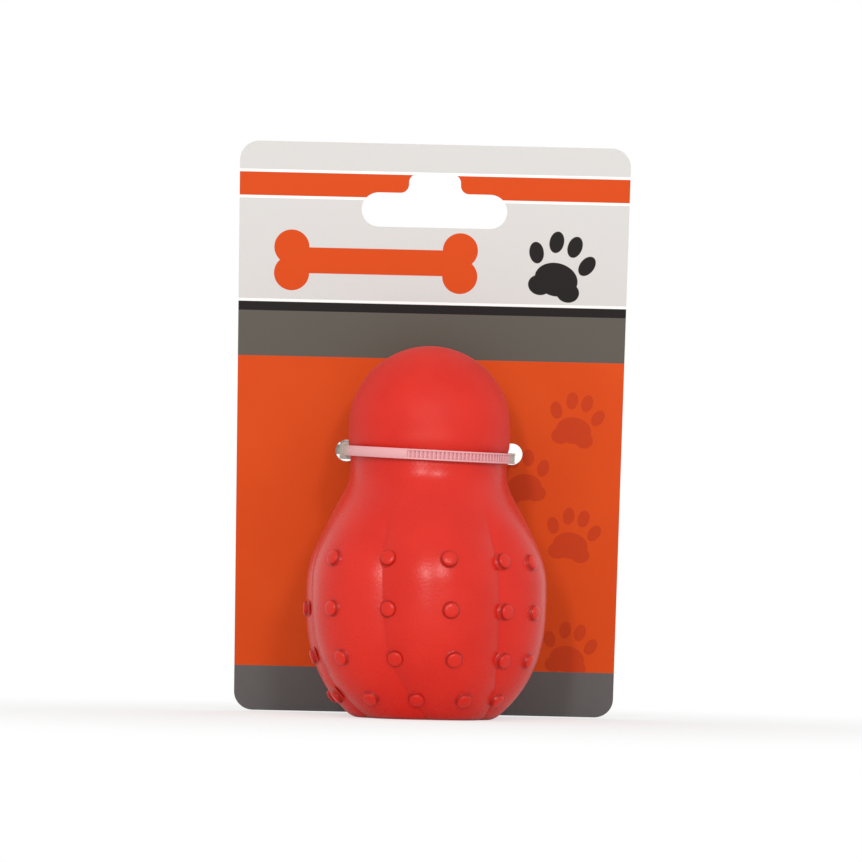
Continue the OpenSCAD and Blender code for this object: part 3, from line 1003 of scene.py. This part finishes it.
def make_head():
    half_l, half_h = head_l / 2, channel_h / 2
    low, high = -half_h - head_floor, half_h + pawl_room + head_roof
    block = brick("tie_head_dressed", (-half_l, half_l), (low, high), head_w / 2)
    soften(block, head_edge_r, 3)
    channel = brick("channel", (-head_l, head_l), (-half_h, half_h), strap_w / 2 + slot_clear)
    room = brick("room", (head_entry - half_l, head_l), (0, half_h + pawl_room), pawl_w / 2 + slot_clear)
    for cutter in (channel, room):
        cut = block.modifiers.new("cut_" + cutter.name, "BOOLEAN")
        cut.operation = "DIFFERENCE"
        cut.object = cutter
    soften(block, slot_edge_r, 2)
    head = finished(block, slot_place(), nylon)
    for cutter in (channel, room):
        bpy.data.objects.remove(cutter)
    return head


head = make_head()
print(head.name, "has", len(head.data.polygons), "faces")

# %% [markdown]
# The pawl
#
# The pawl is a small tongue with a round root, held in the wall where the strap comes in.
# Its tip lies in the ladder and its heel runs along the slope of a tooth, so that pulling
# the strap tight lifts it and pulling it back jams it. Its shape is all in its side view,
# so that is drawn once and given its width.

# %% Make the pawl
pawl_root_r, pawl_t, pawl_heel_share, pawl_edge_r = 0.35 * MM, 0.6 * MM, 0.6, 0.05 * MM


def make_pawl():
    half_l = head_l / 2
    root = Vector((head_entry + pawl_clear - half_l, (channel_h + pawl_room) / 2))
    slope = (tooth_depth - tooth_shy) / tooth_pitch
    tip = Vector((pawl_reach, strap_t / 2 - tooth_depth + pawl_play * slope + pawl_clear))
    heel = tip + Vector((-1, slope)) * pawl_heel_share * tooth_pitch
    turn = [math.radians(270 - 15 * i) for i in range(13)]
    round_root = [root + Vector((math.cos(a), math.sin(a))) * pawl_root_r for a in turn]
    outline = round_root + [tip + Vector((0, pawl_t)), tip, heel]
    outline.reverse()
    pawl = prism("tie_pawl_dressed", outline, -pawl_w / 2, pawl_w / 2)
    soften(pawl, pawl_edge_r, 2)
    return finished(pawl, slot_place(), nylon)


pawl = make_pawl()
for piece, body, node in ((head, "hang_card", "tie_head"), (pawl, "pawl", "tie_pawl")):
    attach(piece, body)
    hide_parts(node)
    compare(piece, node)

# %% [markdown]
# The card's print
#
# The front is printed: a pale header with an orange stripe, a bone and a paw, then a black
# line, a dark band, an orange field with paw prints walking up it, and a dark foot. It
# could be a picture wrapped round the board, but plain shapes stay sharper as sums. A shape
# is a sum on two numbers, how far across and how far up the card a point lies, and the sum
# is below 0 inside the shape. A thin band round 0 then turns it into a mask.

# %% Shapes for the print
ink_edge = 0.07


def ink(distance):
    """1 inside a shape and 0 outside it, with a soft edge."""
    return 1 - distance.rise(-ink_edge, ink_edge)


def between(value, low, high):
    return ink((value - (low + high) / 2).size() - (high - low) / 2)


def turned_place(u, v, centre, degrees):
    """The same point seen from a centre and turned about it."""
    c, s = math.cos(math.radians(degrees)), math.sin(math.radians(degrees))
    x, y = u - centre[0], v - centre[1]
    return x * c + y * s, y * c - x * s


def oval(u, v, centre, wide, high, degrees=0):
    """How far a point lies outside an oval, nearly."""
    x, y = turned_place(u, v, centre, degrees)
    reach = ((x / wide) ** 2 + (y / high) ** 2).root()
    return (reach - 1) * min(wide, high)


def paw(u, v, size):
    """A paw print about its own middle: a broad pad and four toes."""
    pad = oval(u, v, (0, -0.17 * size), 0.3 * size, 0.23 * size)
    heels = [oval(u, v, (side * 0.2 * size, -0.3 * size), 0.16 * size, 0.14 * size) for side in (-1, 1)]
    toes = [oval(u, v, (side * x * size, y * size), 0.1 * size, 0.15 * size, -side * lean)
            for side in (-1, 1) for x, y, lean in ((0.13, 0.33, 4), (0.36, 0.12, 22))]
    nearest = pad
    for shape in heels + toes:
        nearest = nearest.at_most(shape)
    return nearest


def bone(u, v, half_l, thick):
    """A bone along u: a bar with two knobs at each end."""
    x, y = u.size(), v.size()
    nearest = (x - half_l).at_least(y - thick)
    knob = ((x - half_l) ** 2 + (y - thick) ** 2).root() - 1.35 * thick
    return nearest.at_most(knob)


# %% [markdown]
# The board
#
# The board is white card with a thin satin coat over its print. Its back is bare grey-white
# and its cut edges show the white core, round the slot and the tie holes too. Which side a
# point is on comes from its depth behind the front face.

# %% The printed board
card_foot, ink_depth = 0.3, 0.03
stripe, stripe_rim = (138.3, 144.4), 0.7
header_low, line_top, band_top, field_top, foot_top = 111.2, 110.5, 108.1, 96.1, 12.3
bone_at, bone_half_l, bone_thick = (-15, 121.5), 22, 3.4
badge_at, badge_turn, badge_size = (33, 121), -14, 19
stride, print_size, prints_top = 31.0, 15.5, 88.5
print_columns = ((38.5, 80.5, -10), (25.0, 65.0, 8))


def printed_board():
    net = Finish("board_print")
    x, y, z = net.place().parts()
    lean_s, lean_c = math.sin(card_lean), math.cos(card_lean)
    card_y = (card_reach / MM - card_foot * lean_s) / lean_c
    depth = (y - card_y) * lean_c + (z - card_foot) * lean_s
    u, v = x, (z - card_foot) * lean_c - (y - card_y) * lean_s

    fibre = net.noise(net.place(), 0.35, 3.0)
    cloud = net.noise(net.place(), 26.0)
    pale, orange = paint(211, 209, 206), paint(211, 74, 21)
    dark, black = paint(94, 90, 82), paint(34, 30, 30)
    white, deep = paint(250, 248, 245), paint(193, 62, 24)

    front = net.mix(ink(v - header_low), pale, white)
    front = net.mix(between(v, stripe[0] - stripe_rim, stripe[1] + stripe_rim), front, white)
    front = net.mix(between(v, *stripe), front, orange)
    front = net.mix(ink(bone(u - bone_at[0], v - bone_at[1], bone_half_l, bone_thick)), front, orange)
    badge = paw(*turned_place(u, v, badge_at, badge_turn), badge_size)
    front = net.mix(ink(badge), front, black)
    front = net.mix(ink(v - line_top), front, black)
    front = net.mix(ink(v - band_top), front, dark)
    field = net.mix(cloud.rise(0.3, 0.7), orange, paint(215, 78, 25))
    for across, up, degrees in print_columns:
        lap = (v - up - stride / 2) / stride
        local = (lap.fraction() - 0.5) * stride
        shape = paw(*turned_place(u - across, local, (0, 0), degrees), print_size)
        field = net.mix(ink(shape.at_least(v - prints_top)), field, deep)
    front = net.mix(ink(v - field_top), front, field)
    front = net.mix(ink(v - foot_top), front, paint(98, 97, 96))

    board = net.mix(cloud, paint(224, 222, 216), paint(232, 230, 225))
    on_front = 1 - (depth > ink_depth)
    colour = net.mix(on_front, board, front)
    return net.set(
        Base_Color=colour,
        Roughness=0.62 - on_front * 0.2 + fibre * 0.08,
        Normal=net.bump(fibre, 0.012),
        Specular_IOR_Level=0.12,
    )


board = printed_board()
print("made", board.name)

# %% [markdown]
# The card
#
# The board is die cut in one stroke: the outline, the hang slot with its raised middle, and
# the two tie holes. Each is drawn flat here, in millimetres from the middle of the card's
# lower edge, out of a few arcs whose ends are joined by straight lines.

# %% Draw the cuts
card_w, card_h, card_corner_r = 101.6, 152.4, 5.0
slot_w, slot_h, slot_drop = 38.0, 9.0, 17.2
crown_w, crown_h, crown_r = 13.5, 5.0, 2.2
hole_r, hole_rise = 2.9, 0.4


def arc(centre, r, start, end, steps=12):
    """Points on an arc, from a start angle to an end angle in degrees."""
    angles = [math.radians(start + (end - start) * i / steps) for i in range(steps + 1)]
    return [(centre[0] + r * math.cos(a), centre[1] + r * math.sin(a)) for a in angles]


def card_outline():
    x, top = card_w / 2 - card_corner_r, card_h - card_corner_r
    corners = (((x, card_corner_r), -90), ((x, top), 0), ((-x, top), 90), ((-x, card_corner_r), 180))
    return [point for centre, start in corners for point in arc(centre, card_corner_r, start, start + 90)]


def slot_outline():
    """The hang slot, round from the band's right end: its right half, then its mirror image."""
    middle = card_h - slot_drop
    top = middle + slot_h / 2 + crown_h
    right = arc(((slot_w - slot_h) / 2, middle), slot_h / 2, -90, 90, 20)
    right += arc((crown_w / 2 + crown_r, middle + slot_h / 2 + crown_r), crown_r, 270, 180)
    right += arc((crown_w / 2 - crown_r, top - crown_r), crown_r, 0, 90)
    return right + [(-x, y) for x, y in reversed(right)]


def hole_outline(side):
    up = (loop_place.translation.z + leg_y * loop_y.z) / MM - card_foot
    return arc((side * hole_x / MM, up / math.cos(card_lean) + hole_rise), hole_r, 0, 345, 23)


cuts = (card_outline(), slot_outline(), hole_outline(-1), hole_outline(1))
print("cuts of", [len(cut) for cut in cuts], "points")

# %% [markdown]
# Cutting the board
#
# Boolean cutters would do, but a flat curve in Blender is cut like the board itself: every
# closed line inside the outer one becomes a hole, and an extrusion gives the board its
# thickness. The flat card is made a mesh first and then leant against the toy.

# %% Cut the card
def cut_card():
    curve = bpy.data.curves.new("card_cut", "CURVE")
    curve.dimensions = "2D"
    curve.fill_mode = "BOTH"
    curve.extrude = card_t / 2
    for outline in cuts:
        spline = curve.splines.new("POLY")
        spline.points.add(len(outline) - 1)
        spline.points.foreach_set("co", [value for x, y in outline for value in (x * MM, y * MM, 0, 1)])
        spline.use_cyclic_u = True
    flat = loose("card_cut", curve)
    mesh = bpy.data.meshes.new_from_object(flat.evaluated_get(bpy.context.evaluated_depsgraph_get()))
    bpy.data.objects.remove(flat)
    mesh.materials.clear()
    mesh.materials.append(board)
    foot = card_foot * MM
    card_y = (card_reach - foot * math.sin(card_lean)) / math.cos(card_lean)
    lean = Matrix.Rotation(math.radians(90) + card_lean, 4, "X")
    mesh.transform(Matrix.Translation((0, card_y, foot)) @ lean @ Matrix.Translation((0, 0, -card_t / 2)))
    return loose("card", mesh)


card = cut_card()
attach(card, "hang_card")
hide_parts("backing_card")
compare(card, "backing_card")

# %% [markdown]
# The white ground
#
# The photograph has a pure white ground. The world is white only for what looks straight
# at it or mirrors it, and lights the object at a plain level. The floor is pale, takes the
# object's shadow, and fades to the same white with distance, so that no horizon shows.

# %% Lay the ground
world_light, floor_white, floor_fade, floor_r = 0.75, 0.6, (60, 220), 4


def white_world():
    world = bpy.data.worlds.new("white_ground")
    world.use_nodes = True
    net = Net(world.node_tree)
    rays = net.add("ShaderNodeLightPath", {}, {}).socket.node.outputs
    seen = Wire(net, rays["Is Camera Ray"]).at_least(Wire(net, rays["Is Glossy Ray"]))
    seen = seen.at_least(Wire(net, rays["Is Transmission Ray"]))
    ground = world.node_tree.nodes["Background"]
    net.feed(ground.inputs["Color"], (1, 1, 1, 1))
    net.feed(ground.inputs["Strength"], seen * (1 - world_light) + world_light)
    scene.world = world


def pale_floor():
    net = Finish("pale_floor")
    x, y, _ = net.place().parts()
    away = floor_white + (x * x + y * y).root().rise(*floor_fade) * (1 - floor_white)
    rays = net.add("ShaderNodeLightPath", {}, {}).socket.node.outputs
    white = net.add("ShaderNodeEmission", {}, {"Color": (1, 1, 1, 1), "Strength": 1.0})
    net.set(Base_Color=paint(244, 244, 243), Roughness=0.9, Specular_IOR_Level=0.1)
    lit = Wire(net, net.shader.outputs[0])
    mixed = net.add("ShaderNodeMixShader", {}, {0: away * Wire(net, rays["Is Camera Ray"]), 1: lit, 2: white})
    net.tree.links.new(mixed.socket, net.tree.nodes["Material Output"].inputs[0])
    return net.material


white_world()
floor = loose("floor", turned("floor", [(0, 0), (floor_r / 8, 0), (floor_r, 0)], 48))
floor.data.materials.append(pale_floor())
floor.data.flip_normals()
print("floor:", 2 * floor_r, "m across")

# %% [markdown]
# Lamps
#
# Two lamps stand behind the camera. A tall, narrow one at its left lights the strip beside
# the left valley. A square one at its right puts the glow on the neck and the belly and
# gives the toy its narrow shadow on the card.

# %% Light the scene
def lamp(name, place, aim, size, watts):
    light = bpy.data.lights.new(name, "AREA")
    light.shape = "RECTANGLE"
    light.size, light.size_y = size
    light.energy = watts
    stand = bpy.data.objects.new(name, light)
    stand.location = place
    stand.rotation_euler = (Vector(aim) - Vector(place)).to_track_quat("-Z", "Y").to_euler()
    scene.collection.objects.link(stand)


lamp("left", (-0.18, -0.98, 0.28), (0, 0, 0.05), (0.05, 0.24), 2.3)
lamp("right", (0.22, -0.98, 0.36), (0, 0, 0.05), (0.12, 0.12), 2.2)
print("lamps:", [light.name for light in bpy.data.lights])
